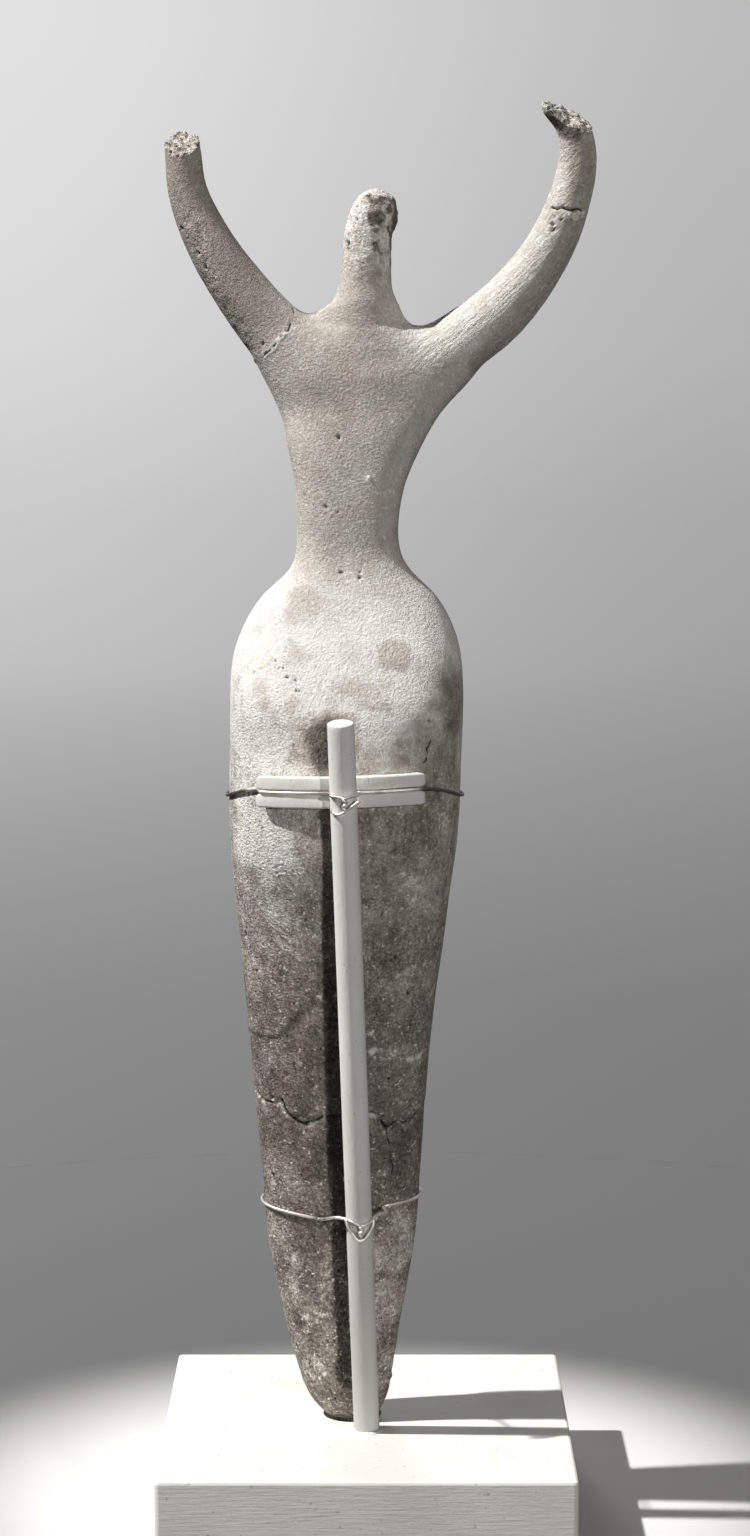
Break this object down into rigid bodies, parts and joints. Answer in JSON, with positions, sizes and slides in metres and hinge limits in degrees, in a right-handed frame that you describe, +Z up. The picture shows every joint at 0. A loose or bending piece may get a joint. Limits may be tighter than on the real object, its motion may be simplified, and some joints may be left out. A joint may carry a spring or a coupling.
{
  "type": "terracotta figurine",
  "caption": "Hand-modelled terracotta female figurine with raised arms, tied to a leaning rod and curved bands on a white wooden block.",
  "frame": {"origin": "centre of the block's underside", "axes": "+Z up the figure, the figure's back and the rod towards -Y, the figure facing +Y"},
  "size_m": [0.1049, 0.1, 0.3449],
  "materials": {
    "clay": "unglazed, worn, white paint over the hips",
    "painted_wood": "matt off-white paint",
    "painted_metal": "matt off-white paint",
    "wire": "dull drawn wire"
  },
  "bodies": {
    "root": {"base_block": "painted_wood", "figurine": "clay", "support_rod": "painted_metal", "upper_band": "painted_metal", "lower_band": "painted_metal", "hip_wire": "wire", "leg_wire": "wire"}
  },
  "joints": []
}
